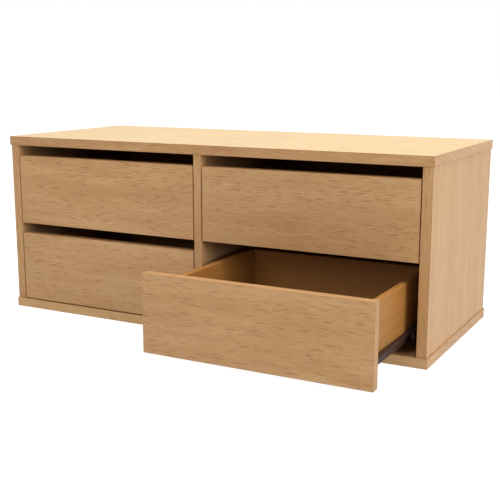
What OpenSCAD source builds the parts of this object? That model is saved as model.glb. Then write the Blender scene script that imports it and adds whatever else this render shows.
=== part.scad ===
// Low chest of four drawers for under a desk: two columns by two rows of inset,
// handle-less drawers, each opened by the finger gap above its front and running on a
// pair of steel roller runners. The lower right drawer stands open.
// Millimetres. +Z up, fronts face -Y, origin at the centre of the base's underside.

/* [Cabinet] */
// Overall width
cab_w = 900; // [860:10:960]
// Overall depth of the top and base panels
cab_d = 380; // [380:5:420]
// Overall height
cab_h = 360; // [350:5:380]
// Thickness of the top, base and side boards
board_t = 18; // [18:1:19]
// Thickness of the centre divider
divider_t = 16; // [16:1:18]
// How far the top and base stand out past the sides
side_lip = 2; // [1:0.5:3]
// How far the sides, divider and fronts sit back from the top's front edge
front_lip = 2; // [1:0.5:3]
// Thickness of the hardboard back
back_t = 3.2; // [3:0.1:3.4]

/* [Drawers] */
// Finger gap above each drawer front
finger_gap = 21; // [18:1:26]
// Joint line at the sides and foot of each front
front_gap = 2; // [1.5:0.5:3]
// Thickness of the drawer fronts
front_t = 18; // [18:1:19]
// Thickness of the wrapped drawer sides and backs
box_t = 12; // [12:1:14]
// Length of the drawer box behind its front
box_l = 345; // [340:1:345]
// Front's bottom edge up to the drawer side's bottom edge
box_lift = 19; // [18:1:22]
// Front's top edge down to the drawer side's top edge
box_drop = 16.5; // [14:0.5:22]
// Thickness of the drawer bottoms
bottom_t = 3.2; // [3:0.1:3.4]
// How far the lower right drawer stands open
lr_open = 199; // [0:1:260]

/* [Runners] */
// Space for one runner between drawer side and packer
runner_gap = 12.5; // [12.5:0.1:13]
// Thickness of the packer strip behind each cabinet runner
packer_t = 12; // [10:1:12]
// Sheet thickness of the runners
steel_t = 1.2; // [1:0.1:1.2]
// Roller radius
roller_r = 8.5; // [8:0.25:8.5]
// Roller width
roller_w = 6; // [5.5:0.25:6]
// How far a packer's front end sits behind its runner's
packer_back = 24; // [0:1:26]
// Full travel of a drawer
travel = 262; // [250:1:265]

/* [Hidden] */
// Clearance around fitted pieces
e = 0.1;

// Board positions
wall_x = cab_w / 2 - side_lip - board_t;
side_cx = wall_x + board_t / 2;
y_front = -cab_d / 2 + front_lip;
y_box = y_front + front_t;
y_box_end = y_box + box_l;
y_back = y_box_end + 4;
side_y1 = cab_d / 2 - front_lip;
z_top = cab_h - board_t;
bay_w = wall_x - divider_t / 2;
bay_cx = divider_t / 2 + bay_w / 2;
front_w = bay_w - 2 * front_gap;
clear_h = z_top - board_t;
front_h = (clear_h - front_gap - 2 * finger_gap) / 2;
row_z1 = board_t + front_gap;
row_z2 = z_top - finger_gap - front_h;

// Drawer box
box_out = bay_w / 2 - packer_t - runner_gap;
box_in = box_out - box_t;
box_h = front_h - box_lift - box_drop;
back_y = y_box_end - 10 - box_t;
back_groove_d = 5;
bottom_groove_d = 5.6;
bottom_z = 12;
dado_d = 4;
round_r = 3;
lr_shift = min(lr_open, travel);

// Runners: heights are from the drawer side's bottom edge
roller_z = 8;
web_h = 18;
track_w = 10;
pin_r = 2;
pin_head_r = 3.2;
pin_head_t = 0.6;
cab_lo = -0.8;
cab_hi = 19.5;
cab_y = y_box + 2;
front_roller_y = cab_y + 16;
rear_roller_y = y_box_end - 14;
stop_y = rear_roller_y - travel - 8;

// Fittings: radii, lengths and hole depths
screw_r = 1.6;
drawer_screw_l = 10.4;
wall_screw_l = 20;
wall_pilot_l = 7.4;
top_hole_l = 11.5;
cam_r = 7.5;
cam_t = 12.4;
cam_hole_l = 12.8;
cam_drop = 34;
bolt_bore_r = 4;
bolt_hole_r = 3;
dowel_r = 4;
dowel_l = 30;
dowel_up = 10.6;
dowel_hole_l = 20;
front_dowel_r = 3;
front_dowel_in = 11.5;
front_hole_l = 12;
side_hole_l = 19;
base_bore_r = 3.5;
base_head_r = 5.1;
base_pilot_r = 2.95;
base_pilot_l = 32;

// Fitting positions
upright_xs = [-side_cx, 0, side_cx];
cam_ys = [y_front + 38, y_back - 29];
dowel_ys = [y_front + 88, y_back - 79];
base_y0 = y_front + 43;
base_step = (y_back - 34 - base_y0) / 3;
base_ys = [for (i = [0:3]) base_y0 + i * base_step];
drawer_screws_y = [y_box + 15, y_box + 170, y_box + 300];
cab_screws_y = [y_box + 38, y_box + 172, y_box + 300];
bottom_screws_x = [-120, 0, 120];
front_dowel_zs = [25, box_h - 20];

DRAWER_NODES = ["front", "side_left", "side_right", "back", "bottom", "dowels",
    "runner_left", "runner_right", "rear_rollers", "screws"];
CABINET_NODES = ["top_panel", "base_panel", "left_side", "right_side", "centre_divider",
    "back_panel", "cam_locks", "cam_bolts", "top_dowels", "base_screws",
    "runner_packers", "cabinet_runners_left", "cabinet_runners_right",
    "cabinet_runner_screws", "ul_front_rollers", "ur_front_rollers",
    "ll_front_rollers", "lr_front_rollers"];

beech = [0.80, 0.64, 0.45];
wrap = [0.72, 0.50, 0.28];
hardboard = [0.35, 0.22, 0.14];
dark_steel = [0.24, 0.17, 0.15];
zinc = [0.72, 0.72, 0.70];
nylon = [0.20, 0.17, 0.15];
birch = [0.86, 0.74, 0.55];
packer_black = [0.13, 0.11, 0.10];

// One box given by two corners
module block(a, b) {
    translate(a)
        cube([b[0] - a[0], b[1] - a[1], b[2] - a[2]]);
}

// A cylinder whose axis runs along +X from a point
module rod_x(p, r, l) {
    translate(p)
        rotate([0, 90, 0])
            cylinder(r = r, h = l, $fn = 48);
}

// A cylinder whose axis runs along +Y from a point
module rod_y(p, r, l) {
    translate(p)
        rotate([-90, 0, 0])
            cylinder(r = r, h = l, $fn = 48);
}

// A cylinder whose axis runs along +Z from a point
module rod_z(p, r, l) {
    translate(p)
        cylinder(r = r, h = l, $fn = 48);
}

// Pan head screw: seat at z = 0, head above, shank of length l below
module pan_screw(l) {
    difference() {
        rotate_extrude($fn = 48)
            polygon([[0, 1.3], [1.6, 1.3], [2.6, 0.9], [3, 0.4], [3, 0],
                [screw_r, 0], [screw_r, 2.4 - l], [0.4, -l], [0, -l]]);
        for (a = [0, 90])
            rotate([0, 0, a])
                translate([-1.6, -0.35, 0.6])
                    cube([3.2, 0.7, 1]);
    }
}

// Flat head connector screw for the base: head flush at z = 0, shank up +Z
module connector_screw() {
    difference() {
        rotate_extrude($fn = 48)
            polygon([[0, 0], [4.8, 0], [4.8, 0.8], [3.3, 4], [3.3, 17], [2.8, 17.5],
                [2.8, 46], [1.2, 49], [0, 49]]);
        translate([0, 0, -0.5])
            cylinder(r = 2.3, h = 3.5, $fn = 6);
    }
}

// Dowel with tapered ends, axis along +Z, centred, for a hole of radius r
module dowel(r, l) {
    translate([0, 0, -l / 2])
        rotate_extrude($fn = 48)
            polygon([[0, 0], [r - 0.9, 0], [r - e, 1.5], [r - e, l - 1.5],
                [r - 0.9, l], [0, l]]);
}

// --- Cabinet boards ---

// Blind holes in the top's underside for one upright board's bolts and dowels
module top_holes(xc) {
    for (y = cam_ys)
        rod_z([xc, y, z_top - e], bolt_hole_r, top_hole_l + e);
    for (y = dowel_ys)
        rod_z([xc, y, z_top - e], dowel_r, top_hole_l + e);
}

// Groove for the back panel in the top or base, between two heights
module back_groove(z0, z1) {
    block([-wall_x - back_groove_d, y_back - e, z0],
        [wall_x + back_groove_d, y_back + back_t + e, z1]);
}

module top_panel() {
    color(beech)
        difference() {
            block([-cab_w / 2, -cab_d / 2, z_top], [cab_w / 2, cab_d / 2, cab_h]);
            for (x = upright_xs)
                top_holes(x);
            back_groove(z_top - 1, z_top + back_groove_d + 1);
        }
}

module base_panel() {
    color(beech)
        difference() {
            block([-cab_w / 2, -cab_d / 2, 0], [cab_w / 2, cab_d / 2, board_t]);
            for (x = upright_xs)
                for (y = base_ys) {
                    rod_z([x, y, -1], base_bore_r, board_t + 2);
                    rod_z([x, y, -1], base_head_r, 2.4);
                    translate([x, y, 1.3])
                        cylinder(r1 = base_head_r, r2 = base_bore_r, h = 3.4, $fn = 48);
                }
            back_groove(board_t - back_groove_d - 1, board_t + 1);
        }
}

// Holes every upright board has: cams and dowels at the top, screws at the foot.
// s is the direction of the face the cams are on, t the board's thickness.
module upright_holes(xc, t, s) {
    for (y = cam_ys) {
        rod_z([xc, y, z_top - cam_drop], bolt_bore_r, cam_drop + 1);
        translate([xc + s * t / 2, y, z_top - cam_drop])
            rotate([0, -s * 90, 0])
                translate([0, 0, -1])
                    cylinder(r = cam_r, h = cam_hole_l + 1, $fn = 48);
    }
    for (y = dowel_ys)
        rod_z([xc, y, z_top - dowel_hole_l], dowel_r, dowel_hole_l + 1);
    for (y = base_ys)
        rod_z([xc, y, board_t - 1], base_pilot_r, base_pilot_l + 1);
}

// Pilot holes for the cabinet runner screws in a board face at x, going +s
module wall_pilots(x, s) {
    for (z = [row_z1, row_z2])
        for (y = cab_screws_y)
            translate([x, y, z + box_lift + roller_z])
                rotate([0, s * 90, 0])
                    translate([0, 0, -1])
                        cylinder(r = screw_r + e, h = wall_pilot_l + 1, $fn = 48);
}

// One outer side board; s is -1 for the left, 1 for the right
module outer_side(s) {
    color(beech)
        difference() {
            block([s * side_cx - board_t / 2, y_front, board_t],
                [s * side_cx + board_t / 2, side_y1, z_top]);
            upright_holes(s * side_cx, board_t, -s);
            wall_pilots(s * wall_x, s);
            back_groove(board_t - 1, z_top + 1);
        }
}

module centre_divider() {
    color(beech)
        difference() {
            block([-divider_t / 2, y_front, board_t], [divider_t / 2, y_back - 3 * e, z_top]);
            upright_holes(0, divider_t, 1);
            wall_pilots(divider_t / 2, -1);
            wall_pilots(-divider_t / 2, 1);
        }
}

module back_panel() {
    reach_x = wall_x + back_groove_d - 2 * e;
    reach_z = back_groove_d + 1 - 2 * e;
    color(hardboard)
        block([-reach_x, y_back, board_t - reach_z],
            [reach_x, y_back + back_t, z_top + reach_z]);
}

// --- Cabinet fittings ---

// Round cam lock let into a board face, with a slot for the bolt and a cross recess
module cam_lock(t) {
    slot_r = 3.7;
    difference() {
        cylinder(r = cam_r - e, h = cam_t, $fn = 48);
        translate([e - slot_r, 0, t / 2])
            rotate([0, 90, 0])
                cylinder(r = slot_r, h = 2 * cam_r, $fn = 48);
        translate([-5.5, -slot_r, t / 2])
            cube([6, 2 * slot_r, cam_t]);
        for (a = [45, 135])
            rotate([0, 0, a])
                translate([-3.5, -0.6, -1])
                    cube([7, 1.2, 2.6]);
    }
}

module cam_locks() {
    color(zinc)
        for (y = cam_ys) {
            translate([-wall_x, y, z_top - cam_drop])
                rotate([0, -90, 0])
                    cam_lock(board_t);
            translate([wall_x, y, z_top - cam_drop])
                rotate([0, 90, 0])
                    rotate([0, 0, 180])
                        cam_lock(board_t);
            translate([divider_t / 2, y, z_top - cam_drop])
                rotate([0, -90, 0])
                    cam_lock(divider_t);
        }
}

// Bolts screwed up into the top, their heads hooked in the cams
module cam_bolts() {
    color(zinc)
        for (x = upright_xs)
            for (y = cam_ys)
                translate([x, y, z_top])
                    rotate_extrude($fn = 48)
                        polygon([[0, 11], [1.6, 11], [2.9, 9.5], [2.9, 0], [3.6, 0],
                            [3.6, -1.6], [2.4, -2], [2.4, 3.6 - cam_drop],
                            [1.6, 3.4 - cam_drop], [1.6, 1 - cam_drop],
                            [3.3, -cam_drop], [3.3, -2 - cam_drop],
                            [2.6, -3 - cam_drop], [0, -3 - cam_drop]]);
}

module top_dowels() {
    color(birch)
        for (x = upright_xs)
            for (y = dowel_ys)
                translate([x, y, z_top + dowel_up - dowel_l / 2])
                    dowel(dowel_r, dowel_l);
}

module base_screws() {
    color(zinc)
        for (x = upright_xs)
            for (y = base_ys)
                translate([x, y, 0.6])
                    connector_screw();
}

// Puts a right-hand child at both walls of every bay. The local frame has x = 0 on the
// drawer side's outer face, x outward, and z = 0 at the drawer side's bottom edge.
module at_wall(cx, row_z, s) {
    translate([cx + s * box_out, 0, row_z + box_lift])
        mirror([s < 0 ? 1 : 0, 0, 0])
            children();
}

// The same at one wall of all four bays; s is -1 for the left wall, 1 for the right
module each_bay(s) {
    for (cx = [-bay_cx, bay_cx])
        for (z = [row_z1, row_z2])
            at_wall(cx, z, s)
                children();
}

module packer() {
    difference() {
        block([runner_gap, cab_y + packer_back, -6.5],
            [runner_gap + packer_t, cab_y + box_l, 25.5]);
        for (y = cab_screws_y)
            rod_x([runner_gap - 1, y, roller_z], screw_r + e, packer_t + 2);
    }
}

module runner_packers() {
    color(packer_black)
        for (s = [-1, 1])
            each_bay(s)
                packer();
}

// Cabinet half of a runner: a channel whose flanges guide the drawer's rear roller
// between a front and a rear stop, with a plain tongue in front for its own roller
module cabinet_runner() {
    x1 = runner_gap;
    x0 = runner_gap - steel_t;
    y0 = stop_y - steel_t;
    y1 = cab_y + box_l;
    z0 = cab_lo - steel_t;
    z1 = cab_hi + steel_t;
    lower_x = 2.4;
    upper_x = 3.4;
    rear_stop_y = rear_roller_y + roller_r + 0.5;
    notch = 4;
    difference() {
        union() {
            block([x0, cab_y, z0], [x1, y1, z1]);
            block([lower_x, y0, z0], [x1, y1, cab_lo]);
            block([upper_x, y0, cab_hi], [x1, y1, z1]);
            block([upper_x, y0, z0], [7.7, stop_y, 4]);
            block([6, rear_stop_y, 2], [x1, rear_stop_y + steel_t, 14]);
        }
        for (y = cab_screws_y)
            rod_x([x0 - 1, y, roller_z], screw_r + 0.15, steel_t + 2);
        for (z = [z0 - 1, z1 - notch + 0.3])
            translate([x0 - 1, cab_y - 1, z])
                cube([steel_t + 2, notch + 1, notch + 0.7]);
    }
    rod_x([x0 - roller_w - 1, front_roller_y, roller_z], pin_r, roller_w + 1.01);
    rod_x([x0 - roller_w - 1.3, front_roller_y, roller_z], pin_head_r, pin_head_t);
}

module cabinet_runners_left() {
    color(dark_steel)
        each_bay(-1)
            cabinet_runner();
}

module cabinet_runners_right() {
    color(dark_steel)
        each_bay(1)
            cabinet_runner();
}

module cabinet_runner_screws() {
    color(zinc)
        for (s = [-1, 1])
            each_bay(s)
                for (y = cab_screws_y)
                    translate([runner_gap - steel_t, y, roller_z])
                        rotate([0, -90, 0])
                            pan_screw(wall_screw_l);
}

// Nylon roller, bored for its pin, axis along +X from x = 0
module roller() {
    rotate([0, 90, 0])
        rotate_extrude($fn = 48)
            polygon([[pin_r + 0.06, 0], [4, 0], [4.4, 0.5], [6.6, 0.5], [7, 0],
                [roller_r - 0.5, 0], [roller_r, 0.5], [roller_r, roller_w - 0.5],
                [roller_r - 0.5, roller_w], [7, roller_w], [6.6, roller_w - 0.5],
                [4.4, roller_w - 0.5], [4, roller_w], [pin_r + 0.06, roller_w]]);
}

module front_rollers(cx, row_z) {
    color(nylon)
        for (s = [-1, 1])
            at_wall(cx, row_z, s)
                translate([runner_gap - steel_t - roller_w - 0.4, front_roller_y, roller_z])
                    roller();
}

// --- One drawer: cx is the bay's centre, row_z the front's bottom edge, o the opening ---

module drawer_front(cx, row_z, o) {
    color(beech)
        translate([cx, -o, row_z])
            difference() {
                block([-front_w / 2, y_front, 0], [front_w / 2, y_box, front_h]);
                block([-box_in - bottom_groove_d, y_box - bottom_groove_d,
                        box_lift + bottom_z - e],
                    [box_in + bottom_groove_d, y_box + 1,
                        box_lift + bottom_z + bottom_t + e]);
                for (s = [-1, 1])
                    for (z = front_dowel_zs)
                        rod_y([s * (box_in + box_t / 2), y_box - front_hole_l, box_lift + z],
                            front_dowel_r, front_hole_l + 1);
            }
}

module drawer_side(cx, row_z, o, s) {
    color(wrap)
        translate([cx, -o, row_z + box_lift])
            mirror([s < 0 ? 1 : 0, 0, 0])
                difference() {
                    side_board();
                    block([box_in - 1, y_box - 1, bottom_z - e],
                        [box_in + bottom_groove_d, y_box_end + 1, bottom_z + bottom_t + e]);
                    block([box_in - 1, back_y - e, bottom_z],
                        [box_in + dado_d, back_y + box_t + e, box_h + 1]);
                    for (z = front_dowel_zs)
                        rod_y([box_in + box_t / 2, y_box - 1, z], front_dowel_r,
                            side_hole_l + 1);
                    for (y = drawer_screws_y)
                        rod_z([box_in + box_t / 2, y, -1], screw_r + e,
                            drawer_screw_l + 2 * e);
                }
}

// The wrapped board of a side, its top edge rounded
module side_board() {
    r = round_r;
    block([box_in, y_box, 0], [box_out, y_box_end, box_h - r]);
    block([box_in + r, y_box, 0], [box_out - r, y_box_end, box_h]);
    rod_y([box_in + r, y_box, box_h - r], r, box_l);
    rod_y([box_out - r, y_box, box_h - r], r, box_l);
}

module drawer_back(cx, row_z, o) {
    r = round_r;
    w = box_in + dado_d - e;
    color(wrap)
        translate([cx, -o, row_z + box_lift])
            difference() {
                union() {
                    block([-w, back_y, bottom_z + bottom_t + e],
                        [w, back_y + box_t, box_h - r]);
                    block([-w, back_y + r, box_h - r - 1], [w, back_y + box_t - r, box_h]);
                    rod_x([-w, back_y + r, box_h - r], r, 2 * w);
                    rod_x([-w, back_y + box_t - r, box_h - r], r, 2 * w);
                }
                for (x = bottom_screws_x)
                    rod_z([x, back_y + box_t / 2, bottom_z], screw_r + e,
                        drawer_screw_l + 6 * e);
                for (s = [-1, 1])
                    translate([s * (w + e) - r - 0.2, back_y - 1, box_h - r - 0.3])
                        cube([2 * r + 0.4, box_t + 2, r + 1]);
            }
}

module drawer_bottom(cx, row_z, o) {
    color(hardboard)
        translate([cx, -o, row_z + box_lift])
            difference() {
                block([-box_in - bottom_groove_d + e, y_box - bottom_groove_d + e, bottom_z],
                    [box_in + bottom_groove_d - e, back_y + box_t, bottom_z + bottom_t]);
                for (x = bottom_screws_x)
                    rod_z([x, back_y + box_t / 2, bottom_z - 1], screw_r + e, bottom_t + 2);
            }
}

module drawer_dowels(cx, row_z, o) {
    color(birch)
        translate([cx, y_box - o - front_dowel_in + dowel_l / 2, row_z + box_lift])
            for (s = [-1, 1])
                for (z = front_dowel_zs)
                    translate([s * (box_in + box_t / 2), 0, z])
                        rotate([90, 0, 0])
                            dowel(front_dowel_r, dowel_l);
}

// Drawer half of a runner: an angle under the drawer side with a track along its top
module drawer_runner() {
    difference() {
        union() {
            block([0, y_box, -steel_t], [steel_t, y_box_end, web_h]);
            block([-box_t + 1, y_box, -steel_t], [steel_t, y_box_end, 0]);
            block([0, y_box, web_h - steel_t], [track_w, y_box_end, web_h]);
        }
        for (y = drawer_screws_y)
            rod_z([-box_t / 2, y, -steel_t - 1], screw_r + 0.15, steel_t + 2);
    }
    rod_x([steel_t - 0.01, rear_roller_y, roller_z], pin_r, roller_w + 1.01);
    rod_x([steel_t + roller_w + 0.7, rear_roller_y, roller_z], pin_head_r, pin_head_t);
}

module drawer_runner_at(cx, row_z, o, s) {
    color(dark_steel)
        translate([0, -o, 0])
            at_wall(cx, row_z, s)
                drawer_runner();
}

module rear_rollers(cx, row_z, o) {
    color(nylon)
        translate([0, -o, 0])
            for (s = [-1, 1])
                at_wall(cx, row_z, s)
                    translate([steel_t + 0.4, rear_roller_y, roller_z])
                        roller();
}

module drawer_screws(cx, row_z, o) {
    color(zinc)
        translate([0, -o, 0]) {
            for (s = [-1, 1])
                at_wall(cx, row_z, s)
                    for (y = drawer_screws_y)
                        translate([-box_t / 2, y, -steel_t])
                            rotate([180, 0, 0])
                                pan_screw(drawer_screw_l);
            for (x = bottom_screws_x)
                translate([cx + x, back_y + box_t / 2, row_z + box_lift + bottom_z])
                    rotate([180, 0, 0])
                        pan_screw(drawer_screw_l);
        }
}

// --- Nodes ---

top_panel();
base_panel();
outer_side(-1);  // left_side
outer_side(1);  // right_side
centre_divider();
back_panel();
cam_locks();
cam_bolts();
top_dowels();
base_screws();
runner_packers();
cabinet_runners_left();
cabinet_runners_right();
cabinet_runner_screws();
front_rollers(-bay_cx, row_z2);  // ul_front_rollers
front_rollers(bay_cx, row_z2);  // ur_front_rollers
front_rollers(-bay_cx, row_z1);  // ll_front_rollers
front_rollers(bay_cx, row_z1);  // lr_front_rollers

drawer_front(-bay_cx, row_z2, 0);  // ul_front
drawer_side(-bay_cx, row_z2, 0, -1);  // ul_side_left
drawer_side(-bay_cx, row_z2, 0, 1);  // ul_side_right
drawer_back(-bay_cx, row_z2, 0);  // ul_back
drawer_bottom(-bay_cx, row_z2, 0);  // ul_bottom
drawer_dowels(-bay_cx, row_z2, 0);  // ul_dowels
drawer_runner_at(-bay_cx, row_z2, 0, -1);  // ul_runner_left
drawer_runner_at(-bay_cx, row_z2, 0, 1);  // ul_runner_right
rear_rollers(-bay_cx, row_z2, 0);  // ul_rear_rollers
drawer_screws(-bay_cx, row_z2, 0);  // ul_screws

drawer_front(bay_cx, row_z2, 0);  // ur_front
drawer_side(bay_cx, row_z2, 0, -1);  // ur_side_left
drawer_side(bay_cx, row_z2, 0, 1);  // ur_side_right
drawer_back(bay_cx, row_z2, 0);  // ur_back
drawer_bottom(bay_cx, row_z2, 0);  // ur_bottom
drawer_dowels(bay_cx, row_z2, 0);  // ur_dowels
drawer_runner_at(bay_cx, row_z2, 0, -1);  // ur_runner_left
drawer_runner_at(bay_cx, row_z2, 0, 1);  // ur_runner_right
rear_rollers(bay_cx, row_z2, 0);  // ur_rear_rollers
drawer_screws(bay_cx, row_z2, 0);  // ur_screws

drawer_front(-bay_cx, row_z1, 0);  // ll_front
drawer_side(-bay_cx, row_z1, 0, -1);  // ll_side_left
drawer_side(-bay_cx, row_z1, 0, 1);  // ll_side_right
drawer_back(-bay_cx, row_z1, 0);  // ll_back
drawer_bottom(-bay_cx, row_z1, 0);  // ll_bottom
drawer_dowels(-bay_cx, row_z1, 0);  // ll_dowels
drawer_runner_at(-bay_cx, row_z1, 0, -1);  // ll_runner_left
drawer_runner_at(-bay_cx, row_z1, 0, 1);  // ll_runner_right
rear_rollers(-bay_cx, row_z1, 0);  // ll_rear_rollers
drawer_screws(-bay_cx, row_z1, 0);  // ll_screws

drawer_front(bay_cx, row_z1, lr_shift);  // lr_front
drawer_side(bay_cx, row_z1, lr_shift, -1);  // lr_side_left
drawer_side(bay_cx, row_z1, lr_shift, 1);  // lr_side_right
drawer_back(bay_cx, row_z1, lr_shift);  // lr_back
drawer_bottom(bay_cx, row_z1, lr_shift);  // lr_bottom
drawer_dowels(bay_cx, row_z1, lr_shift);  // lr_dowels
drawer_runner_at(bay_cx, row_z1, lr_shift, -1);  // lr_runner_left
drawer_runner_at(bay_cx, row_z1, lr_shift, 1);  // lr_runner_right
rear_rollers(bay_cx, row_z1, lr_shift);  // lr_rear_rollers
drawer_screws(bay_cx, row_z1, lr_shift);  // lr_screws
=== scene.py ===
import math

import bpy
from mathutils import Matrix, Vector


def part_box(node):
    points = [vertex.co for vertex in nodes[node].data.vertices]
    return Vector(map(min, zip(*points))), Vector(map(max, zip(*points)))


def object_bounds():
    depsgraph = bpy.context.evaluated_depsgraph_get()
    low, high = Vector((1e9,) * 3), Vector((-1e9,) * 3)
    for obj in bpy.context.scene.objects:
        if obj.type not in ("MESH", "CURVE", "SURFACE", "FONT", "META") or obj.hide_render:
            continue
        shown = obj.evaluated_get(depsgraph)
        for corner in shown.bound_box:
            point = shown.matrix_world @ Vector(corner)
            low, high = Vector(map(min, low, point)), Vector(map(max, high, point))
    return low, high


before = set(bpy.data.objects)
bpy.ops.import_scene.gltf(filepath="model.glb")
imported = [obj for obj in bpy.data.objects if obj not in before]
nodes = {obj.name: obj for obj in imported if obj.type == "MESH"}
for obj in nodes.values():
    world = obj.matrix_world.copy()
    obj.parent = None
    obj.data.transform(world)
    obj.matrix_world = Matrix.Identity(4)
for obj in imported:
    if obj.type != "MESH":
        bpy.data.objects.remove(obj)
cad_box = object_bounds()

X, Y, Z = 0, 1, 2
DRAWERS = ("ul", "ur", "ll", "lr")
MM = 0.001

# Rounding asked for on the cabinet boards and fronts, and on the drawer boxes' boards.
# The bevel's overlap clamp narrows it: board by board it comes out at 0.01 to 0.2 mm.
ARRIS = 0.7 * MM
BOX_ARRIS = 0.4 * MM
# How near the board's box a polygon has to lie to be one of its outer faces
SKIN = 0.05 * MM
# Corners nearer to each other than this are merged before the bevel
WELD = 0.01 * MM


# ------------------------------------------------------- material graph helpers

class Graph:
    """A short way to write one material's node tree."""

    def __init__(self, name):
        self.mat = bpy.data.materials.new(name)
        self.mat.use_nodes = True
        self.tree = self.mat.node_tree
        self.shader = self.tree.nodes["Principled BSDF"]
        self.coord = self.tree.nodes.new("ShaderNodeTexCoord").outputs["Object"]

    def put(self, socket, value):
        if isinstance(value, bpy.types.NodeSocket):
            self.tree.links.new(value, socket)
        elif value is not None:
            socket.default_value = value

    def math(self, op, a, b=None, c=None):
        n = self.tree.nodes.new("ShaderNodeMath")
        n.operation = op
        for socket, value in zip(n.inputs, (a, b, c)):
            self.put(socket, value)
        return n.outputs[0]

    def stretch(self, scale, shift=(0, 0, 0)):
        n = self.tree.nodes.new("ShaderNodeMapping")
        self.put(n.inputs["Vector"], self.coord)
        n.inputs["Location"].default_value = shift
        n.inputs["Scale"].default_value = scale
        return n.outputs[0]

    def noise(self, vector, detail=2.0, rough=0.5, distortion=0.0):
        n = self.tree.nodes.new("ShaderNodeTexNoise")
        n.inputs["Scale"].default_value = 1.0
        n.inputs["Detail"].default_value = detail
        n.inputs["Roughness"].default_value = rough
        n.inputs["Distortion"].default_value = distortion
        self.put(n.inputs["Vector"], vector)
        return n.outputs["Fac"]

    def cells(self, vector, dimensions="3D"):
        n = self.tree.nodes.new("ShaderNodeTexVoronoi")
        n.voronoi_dimensions = dimensions
        n.inputs["Scale"].default_value = 1.0
        self.put(n.inputs["Vector"], vector)
        return n

    def ramp(self, value, low, high, out_low=0.0, out_high=1.0, smooth=True):
        n = self.tree.nodes.new("ShaderNodeMapRange")
        n.interpolation_type = "SMOOTHSTEP" if smooth else "LINEAR"
        self.put(n.inputs["Value"], value)
        for name, v in (("From Min", low), ("From Max", high),
                        ("To Min", out_low), ("To Max", out_high)):
            n.inputs[name].default_value = v
        return n.outputs["Result"]

    def mix(self, factor, a, b, blend="MIX"):
        n = self.tree.nodes.new("ShaderNodeMix")
        n.data_type = "RGBA"
        n.blend_type = blend
        self.put(n.inputs[0], factor)
        self.put(n.inputs[6], a)
        self.put(n.inputs[7], b)
        return n.outputs[2]

    def split(self, vector):
        n = self.tree.nodes.new("ShaderNodeSeparateXYZ")
        self.put(n.inputs[0], vector)
        return n.outputs

    def join(self, x, y, z):
        n = self.tree.nodes.new("ShaderNodeCombineXYZ")
        for socket, value in zip(n.inputs, (x, y, z)):
            self.put(socket, value)
        return n.outputs[0]

    def bump(self, height, strength, distance):
        n = self.tree.nodes.new("ShaderNodeBump")
        n.inputs["Strength"].default_value = strength
        n.inputs["Distance"].default_value = distance
        self.put(n.inputs["Height"], height)
        self.put(self.shader.inputs["Normal"], n.outputs[0])

    def finish(self, color, rough, ior=1.5, metallic=0.0):
        self.put(self.shader.inputs["Base Color"], color)
        self.put(self.shader.inputs["Roughness"], rough)
        self.shader.inputs["IOR"].default_value = ior
        self.shader.inputs["Metallic"].default_value = metallic
        return self.mat


def linear(r, g, b):
    """An sRGB colour, 0 to 255, as a linear RGBA."""
    def one(v):
        v /= 255
        return v / 12.92 if v <= 0.04045 else ((v + 0.055) / 1.055) ** 2.4
    return (one(r), one(g), one(b), 1)


def along(axis, lengthwise, across):
    """Texture scales, in repeats per metre, for a grain that runs along one axis."""
    return tuple(lengthwise if i == axis else across for i in range(3))


# ------------------------------------------------------------------- materials

# Repeats a metre along and across the grain, share of cells with a fleck, darkness
FLECK_LAYERS = ((24, 250, 0.26, 0.95), (32, 370, 0.28, 0.85), (52, 520, 0.24, 0.8))
# How strongly fibres show on a face and on an edge band, and flecks on a band
FACE_STREAK = 0.22
BAND_STREAK = 0.36
BAND_FLECKS = 0.55
# How far the grain wanders sideways and the flecks slip lengthwise
WANDER = 16 * MM
SLIP = 160 * MM
# Where the worn line at a face's edges starts to fade and ends, and its darkness
WEAR = (0.3 * MM, 1.3 * MM)
WEAR_DEPTH = 0.34
PINK = linear(246, 214, 204)
FLECK = linear(146, 84, 26)
FRONT = (linear(201, 160, 111), linear(185, 144, 94))
# Lighter copy of the same beech for the sides, the divider and the panels' end bands: painted
# light.
SIDE_PAINTED_LIGHT = (linear(207, 168, 122), linear(196, 156, 108))
# Much lighter, paler copy of the same beech for the top's face: painted light from the overhead
# lamp.
TOP_PAINTED_LIGHT = (linear(218, 187, 127), linear(210, 177, 116))
# Lighter copy of the same beech for the base's front edge band: painted light.
BASE_EDGE_PAINTED_LIGHT = (linear(214, 174, 122), linear(202, 160, 106))


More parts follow.
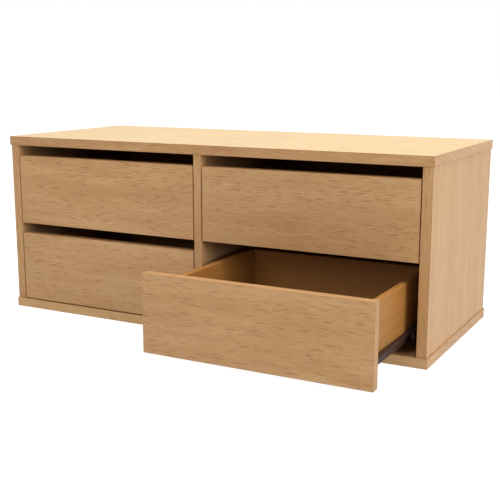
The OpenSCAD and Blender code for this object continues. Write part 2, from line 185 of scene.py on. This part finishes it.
def beech(name, board, normal, grain, seed, tones, flecks, streak, rough=0.42, slant=0.0):
    """Beech-effect melamine on one face or edge of a board: soft bands, fine fibres,
    short dark flecks, and a thin darker line where it meets the next face. The pattern
    lies in two directions, along the grain and across it."""
    g = Graph(name)
    light, dark = tones
    xyz = g.split(g.coord)
    u = xyz[grain]
    v = g.math("ADD", *[xyz[i] for i in range(3) if i != grain])
    v = g.math("MULTIPLY_ADD", u, slant, v)

    def plane(lengthwise, across, layer=0.0):
        return g.join(g.math("MULTIPLY_ADD", u, lengthwise, seed * 1.37),
                      g.math("MULTIPLY_ADD", v, across, seed * 0.71), seed + layer)

    # A slow wander of the grain, so flecks lean a few degrees either way, and a slip
    # along it, so they never line up in columns.
    wander = g.noise(plane(6, 14), detail=1.5)
    slip = g.noise(plane(1, 60, 5), detail=1)
    v = g.math("ADD", v, g.math("MULTIPLY_ADD", wander, WANDER, -WANDER / 2))
    u = g.math("ADD", u, g.math("MULTIPLY", slip, SLIP))

    bands = g.noise(plane(2.2, 34, 1), detail=3, rough=0.55)
    patches = g.noise(plane(8, 24, 2), detail=2)
    fibres = g.noise(plane(24, 700, 3), detail=3, rough=0.6)
    blush = g.noise(plane(14, 30, 4), detail=2)
    crowd = g.ramp(g.noise(plane(4, 55, 6), detail=2), 0.35, 0.65, 0.35, 1.65)
    tone = g.math("ADD", g.ramp(bands, 0.32, 0.68, 0, 0.6), g.ramp(patches, 0.3, 0.7, 0, 0.4))
    color = g.mix(tone, light, dark)
    color = g.mix(g.ramp(blush, 0.42, 0.62, 0, 0.30), color, g.mix(0.5, color, PINK, "MULTIPLY"))
    color = g.mix(g.ramp(fibres, 0.25, 0.75, 0, streak), color, FLECK)

    mask = None
    for layer, (length, width, share, weight) in enumerate(FLECK_LAYERS):
        cell = g.cells(plane(length, width, 10 + layer), dimensions="2D")
        chosen = g.split(cell.outputs["Color"])
        near = g.ramp(cell.outputs["Distance"], 0.12, 0.36, 1, 0)
        there = g.math("LESS_THAN", chosen[0], g.math("MULTIPLY", crowd, share))
        depth = g.math("MULTIPLY_ADD", chosen[1], 0.65, 0.35)
        dash = g.math("MULTIPLY", g.math("MULTIPLY", near, there),
                      g.math("MULTIPLY", depth, weight))
        mask = dash if mask is None else g.math("MAXIMUM", mask, dash)
    color = g.mix(g.math("MULTIPLY", mask, flecks), color, FLECK)

    # Distance in from the face's own edges: a worn, slightly dirty line of about 1 mm.
    low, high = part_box(board)
    rim = None
    for axis in range(3):
        if axis != normal:
            half = (high[axis] - low[axis]) / 2
            from_middle = g.math("ABSOLUTE", g.math("SUBTRACT", xyz[axis], low[axis] + half))
            inset = g.math("SUBTRACT", half, from_middle)
            rim = inset if rim is None else g.math("MINIMUM", rim, inset)
    wear = g.math("MULTIPLY", g.ramp(rim, *WEAR, 1, 0), g.ramp(patches, 0.3, 0.6, 0.5, 1))
    color = g.mix(g.math("MULTIPLY", wear, WEAR_DEPTH), color, FLECK)

    pores = g.math("ADD", g.math("MULTIPLY", fibres, 0.5), g.math("MULTIPLY", mask, -0.6))
    g.bump(pores, 0.25, 0.0002)
    gloss = g.ramp(fibres, 0.2, 0.8, rough - 0.05, rough + 0.07)
    return g.finish(color, g.math("MULTIPLY_ADD", wear, 0.15, gloss), ior=1.45)


def wrapped(name, grain, seed):
    """Honey-brown wood-effect foil on the drawer sides and backs."""
    g = Graph(name)
    shift = (seed, seed * 0.6, seed * 1.7)
    bands = g.noise(g.stretch(along(grain, 3, 48), shift), detail=4, rough=0.6)
    fibres = g.noise(g.stretch(along(grain, 30, 700), shift), detail=3, rough=0.6)
    color = g.mix(g.ramp(bands, 0.3, 0.7), linear(175, 122, 60), linear(161, 108, 49))
    color = g.mix(g.ramp(fibres, 0.3, 0.75, 0, 0.35), color, linear(128, 80, 38))
    g.bump(fibres, 0.2, 0.00015)
    return g.finish(color, g.ramp(bands, 0.2, 0.8, 0.52, 0.62), ior=1.45)


def chipboard():
    """Raw particle board where a cut end shows."""
    g = Graph("chipboard_core")
    chips = g.cells(g.stretch((420, 420, 420)))
    fine = g.noise(g.stretch((900, 900, 900)), detail=3, rough=0.7)
    tint = g.split(chips.outputs["Color"])[0]
    color = g.mix(tint, linear(196, 156, 108), linear(150, 110, 70))
    color = g.mix(g.ramp(fine, 0.35, 0.7, 0, 0.6), color, linear(112, 78, 46))
    g.bump(g.math("ADD", fine, chips.outputs["Distance"]), 0.6, 0.0006)
    return g.finish(color, 0.85)


def hardboard(name, mesh_back):
    """Dark brown hardboard: its smooth face or, with mesh_back, its screen-marked one."""
    g = Graph(name)
    cloud = g.noise(g.stretch((9, 9, 9)), detail=3, rough=0.6)
    flock = g.noise(g.stretch((150, 150, 150)), detail=5, rough=0.75, distortion=0.8)
    fibre = g.noise(g.stretch((520, 520, 520)), detail=4, rough=0.75, distortion=0.6)
    color = g.mix(g.ramp(cloud, 0.3, 0.7), linear(110, 76, 50), linear(99, 67, 43))
    color = g.mix(g.ramp(flock, 0.42, 0.62, 0, 0.5), color, linear(78, 50, 30))
    color = g.mix(g.ramp(flock, 0.44, 0.3, 0, 0.35), color, linear(138, 102, 70))
    color = g.mix(g.ramp(fibre, 0.4, 0.75, 0, 0.45), color, linear(72, 45, 26))
    height = g.math("MULTIPLY", fibre, 0.6)
    if mesh_back:
        x, y, z = g.split(g.stretch((2600, 2600, 2600)))
        weave = g.math("MULTIPLY", g.math("SINE", g.math("ADD", x, z)),
                       g.math("SINE", g.math("ADD", y, z)))
        height = g.math("ADD", height, g.math("MULTIPLY", weave, 0.5))
    g.bump(height, 0.5, 0.0004)
    return g.finish(color, g.ramp(fibre, 0.2, 0.8, 0.5, 0.72))


def birch():
    """Raw light hardwood of the dowels."""
    g = Graph("raw_hardwood")
    rings = g.noise(g.stretch((60, 5, 60)), detail=4, rough=0.6)
    pores = g.noise(g.stretch((700, 30, 700)), detail=3, rough=0.6)
    color = g.mix(g.ramp(rings, 0.3, 0.7), linear(222, 192, 148), linear(200, 164, 116))
    color = g.mix(g.ramp(pores, 0.35, 0.75, 0, 0.4), color, linear(158, 120, 76))
    g.bump(pores, 0.3, 0.0003)
    return g.finish(color, 0.72)


def coated_steel():
    """Dark brown powder coat with orange peel and rubbed tracks."""
    g = Graph("powder_coated_steel")
    peel = g.noise(g.stretch((1500, 1500, 1500)), detail=2)
    rub = g.noise(g.stretch((160, 6, 160)), detail=4, rough=0.7)
    color = g.mix(g.ramp(rub, 0.52, 0.72, 0, 0.4), linear(54, 35, 29), linear(80, 59, 51))
    g.bump(peel, 0.15, 0.0002)
    return g.finish(color, g.ramp(rub, 0.3, 0.7, 0.58, 0.46), ior=1.4)


def dull_plastic(name, light, dark, rough):
    """Moulded or extruded plastic, dulled where it is handled or runs."""
    g = Graph(name)
    cloud = g.noise(g.stretch((260, 260, 260)), detail=3)
    grain = g.noise(g.stretch((2400, 2400, 2400)), detail=2)
    color = g.mix(g.ramp(cloud, 0.35, 0.7), light, dark)
    g.bump(grain, 0.15, 0.0002)
    return g.finish(color, g.ramp(cloud, 0.3, 0.7, rough - 0.08, rough + 0.08))


def zinc():
    """Zinc-plated screws and cams, slightly clouded."""
    g = Graph("zinc_plate")
    cloud = g.noise(g.stretch((420, 420, 420)), detail=4, rough=0.6)
    color = g.mix(g.ramp(cloud, 0.35, 0.7), linear(206, 206, 202), linear(164, 166, 168))
    g.bump(cloud, 0.12, 0.0001)
    return g.finish(color, g.ramp(cloud, 0.3, 0.7, 0.24, 0.42), metallic=1.0)


wrap_y = wrapped("wrapped_side", Y, 2.4)
wrap_x = wrapped("wrapped_back", X, 6.2)
hardboard_smooth = hardboard("hardboard_smooth", False)
hardboard_screen = hardboard("hardboard_screen", True)
core = chipboard()
raw_wood = birch()
steel = coated_steel()
# Near-black tones: the rollers' and packers' own dark plastic, darkened further as painted shade
# for the dim runner gap.
roller_nylon_and_shade = dull_plastic("nylon_roller_and_shade", linear(50, 40, 35), linear(38, 30, 26), 0.48)
packer_plastic = dull_plastic("packer_plastic", linear(44, 38, 35), linear(34, 29, 27), 0.62)
plated = zinc()


# ---------------------------------------------------------- dressing CAD nodes

def paint(name, *choices):
    """Gives a node's polygons materials. choices are (material, axis, sign): the first
    whose axis and sign match a polygon's normal wins. Sign 0 takes both directions, and
    axis None takes what is left."""
    mesh = nodes[name].data
    mesh.materials.clear()
    kinds = []
    for material, _, _ in choices:
        if material not in kinds:
            kinds.append(material)
            mesh.materials.append(material)
    for polygon in mesh.polygons:
        for material, axis, sign in choices:
            n = polygon.normal
            if axis is None or abs(n[axis]) > 0.7 and sign * n[axis] >= 0:
                polygon.material_index = kinds.index(material)
                break


def dress_board(name, thickness, grain, seed, tones, flecks, bands, rough=0.42, lean=0.0):
    """Melamine on a board's two faces and edge bands where bands (axis: tones) says, raw
    chipboard in its holes and grooves and on its other edges. The grain of a band across
    the board's end leans by lean."""
    low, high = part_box(name)
    mesh = nodes[name].data
    mesh.materials.clear()
    mesh.materials.append(core)
    slots = {}
    for axis in range(3):
        if axis == thickness:
            made = beech(f"{name}_face", name, axis, grain, seed, tones, flecks, FACE_STREAK,
                         rough)
        elif axis in bands:
            end = axis == grain
            run = 3 - grain - thickness if end else grain
            made = beech(f"{name}_band_{'xyz'[axis]}", name, axis, run, seed + 3.3 * (axis + 1),
                         bands[axis], BAND_FLECKS, BAND_STREAK, rough, lean if end else 0.0)
        else:
            continue
        slots[axis] = len(mesh.materials)
        mesh.materials.append(made)
    for polygon in mesh.polygons:
        polygon.material_index = 0
        for axis, slot in slots.items():
            place = polygon.center[axis]
            outside = min(abs(place - low[axis]), abs(place - high[axis])) < SKIN
            if outside and abs(polygon.normal[axis]) > 0.9:
                polygon.material_index = slot


def soften(name, width):
    """Rounds a board's arrises: weld, drop flat seams, bevel. The clamp keeps the bevel
    from crossing itself at the short edges of holes and grooves, so it stays below width."""
    obj = nodes[name]
    mesh = obj.data
    custom = mesh.attributes.get("custom_normal")
    if custom:
        mesh.attributes.remove(custom)
    for polygon in mesh.polygons:
        polygon.use_smooth = True
    weld = obj.modifiers.new("weld", "WELD")
    weld.merge_threshold = WELD
    flat = obj.modifiers.new("flat", "DECIMATE")
    flat.decimate_type = "DISSOLVE"
    flat.angle_limit = math.radians(1)
    flat.delimit = {"MATERIAL"}
    bevel = obj.modifiers.new("arris", "BEVEL")
    bevel.width = width
    bevel.segments = 2
    bevel.limit_method = "ANGLE"
    bevel.angle_limit = math.radians(40)
    bevel.use_clamp_overlap = True
    bevel.harden_normals = True


# The number after the two axes picks each board's own stretch of pattern.
dress_board("top_panel", Z, X, 1.9, TOP_PAINTED_LIGHT, 0.30, {X: SIDE_PAINTED_LIGHT, Y: FRONT}, rough=0.38, lean=0.29)
dress_board("base_panel", Z, X, 20.2, FRONT, 0.75, {X: SIDE_PAINTED_LIGHT, Y: BASE_EDGE_PAINTED_LIGHT}, lean=0.29)
for i, board in enumerate(("left_side", "right_side", "centre_divider")):
    dress_board(board, X, Z, 8.3 + 2.9 * i, SIDE_PAINTED_LIGHT, 0.20, {Y: FRONT})
paint("back_panel", (hardboard_screen, Y, 1), (hardboard_smooth, None, 0))
for board in ("top_panel", "base_panel", "left_side", "right_side", "centre_divider"):
    soften(board, ARRIS)

for i, d in enumerate(DRAWERS):
    dress_board(f"{d}_front", Y, X, 3.1 + i * 5.7, FRONT, 0.68, {X: FRONT, Z: FRONT})
    soften(f"{d}_front", ARRIS)
    for side in ("left", "right"):
        paint(f"{d}_side_{side}", (core, Y, 0), (wrap_y, None, 0))
        paint(f"{d}_runner_{side}", (steel, None, 0))
        soften(f"{d}_side_{side}", BOX_ARRIS)
    paint(f"{d}_back", (core, X, 0), (wrap_x, None, 0))
    soften(f"{d}_back", BOX_ARRIS)
    paint(f"{d}_bottom", (hardboard_screen, Z, -1), (hardboard_smooth, None, 0))
    paint(f"{d}_dowels", (raw_wood, None, 0))
    paint(f"{d}_screws", (plated, None, 0))
    paint(f"{d}_rear_rollers", (roller_nylon_and_shade, None, 0))
    paint(f"{d}_front_rollers", (roller_nylon_and_shade, None, 0))

for name in ("cam_locks", "cam_bolts", "base_screws", "cabinet_runner_screws"):
    paint(name, (plated, None, 0))
paint("top_dowels", (raw_wood, None, 0))
paint("runner_packers", (packer_plastic, None, 0))
for name in ("cabinet_runners_left", "cabinet_runners_right"):
    paint(name, (steel, None, 0))


# ------------------------------------------------------------- floor and light

# Half the floor's width in metres, and how far it lies below the base
FLOOR_HALF = 14
FLOOR_DROP = 0.5 * MM
# Glow of the floor and the world: SEEN is what the camera gets, BOUNCE what lights the
# object. Gloss mirrors the world as SEEN and the floor as BOUNCE.
FLOOR_BOUNCE = 0.67
FLOOR_SEEN = 0.97
WORLD_BOUNCE = 0.16
WORLD_SEEN = 1.0
# Where three of the lamps point: the middle of the chest
AIM = (0.0, 0.0, 0.2)
# Name: place, target, size, watts, whether gloss mirrors it
LAMPS = {
    "overhead": ((0.3, 0.1, 2.6), AIM, (3.2, 2.4), 76, True),
    "front": ((-0.2, -3.0, 1.6), AIM, (2.0, 1.6), 25, True),
    "back_left": ((-2.6, 2.8, 1.9), AIM, (2.0, 1.8), 34, False),
    "right_hand": ((3.4, -1.1, 1.3), (0.2, 0.0, 0.2), (1.8, 1.8), 65, False),
}


def plain_floor():
    """A matt floor whose own glow keeps it white in the picture and lights the object."""
    g = Graph("pale_floor")
    mottle = g.noise(g.stretch((3, 3, 3)), detail=3)
    color = g.mix(mottle, (0.15, 0.15, 0.15, 1), (0.17, 0.17, 0.17, 1))
    g.finish(color, 0.9)
    g.shader.inputs["Emission Color"].default_value = (1, 1, 1, 1)
    rays = g.tree.nodes.new("ShaderNodeLightPath").outputs["Is Camera Ray"]
    glow = g.ramp(rays, 0, 1, FLOOR_BOUNCE, FLOOR_SEEN, smooth=False)
    g.put(g.shader.inputs["Emission Strength"], glow)
    mesh = bpy.data.meshes.new("floor")
    r = FLOOR_HALF
    z = cad_box[0].z - FLOOR_DROP
    mesh.from_pydata([(-r, -r, z), (r, -r, z), (r, r, z), (-r, r, z)], [], [(0, 1, 2, 3)])
    mesh.materials.append(g.mat)
    floor = bpy.data.objects.new("floor", mesh)
    bpy.context.scene.collection.objects.link(floor)


def soft_box(name, place, target, size, watts, glossy):
    """A rectangular studio lamp facing a target."""
    light = bpy.data.lights.new(name, "AREA")
    light.shape = "RECTANGLE"
    light.size, light.size_y = size
    light.energy = watts
    obj = bpy.data.objects.new(name, light)
    obj.visible_glossy = glossy
    obj.location = place
    obj.rotation_euler = (Vector(target) - Vector(place)).to_track_quat("-Z", "Y").to_euler()
    bpy.context.scene.collection.objects.link(obj)


def studio_world():
    """White to the camera and to gloss, dim as a source of diffuse light."""
    world = bpy.data.worlds.new("studio")
    world.use_nodes = True
    bpy.context.scene.world = world
    tree = world.node_tree
    background = tree.nodes["Background"]
    background.inputs["Color"].default_value = (1, 1, 1, 1)
    rays = tree.nodes.new("ShaderNodeLightPath")
    level = tree.nodes.new("ShaderNodeMapRange")
    level.inputs["To Min"].default_value = WORLD_SEEN
    level.inputs["To Max"].default_value = WORLD_BOUNCE
    tree.links.new(rays.outputs["Is Diffuse Ray"], level.inputs["Value"])
    tree.links.new(level.outputs["Result"], background.inputs["Strength"])


plain_floor()
for name, lamp in LAMPS.items():
    soft_box(name, *lamp)
studio_world()

bpy.context.scene.view_settings.view_transform = "Standard"
bpy.context.scene.view_settings.look = "None"


# ---------------------------------------------------------------------- camera

# Place in metres, tilt and turn in degrees, sensor and lens in millimetres
CAMERA_PLACE = (0.88401, -1.62845, 0.50427)
CAMERA_DOWN = 11.4388
CAMERA_TURN = 28.2205
SENSOR = 36
LENS = 65.94


def make_camera():
    data = bpy.data.cameras.new("camera")
    data.sensor_width = SENSOR
    data.lens = LENS
    cam = bpy.data.objects.new("camera", data)
    cam.location = CAMERA_PLACE
    cam.rotation_euler = (math.radians(90 - CAMERA_DOWN), 0, math.radians(CAMERA_TURN))
    bpy.context.scene.collection.objects.link(cam)
    bpy.context.scene.camera = cam


make_camera()
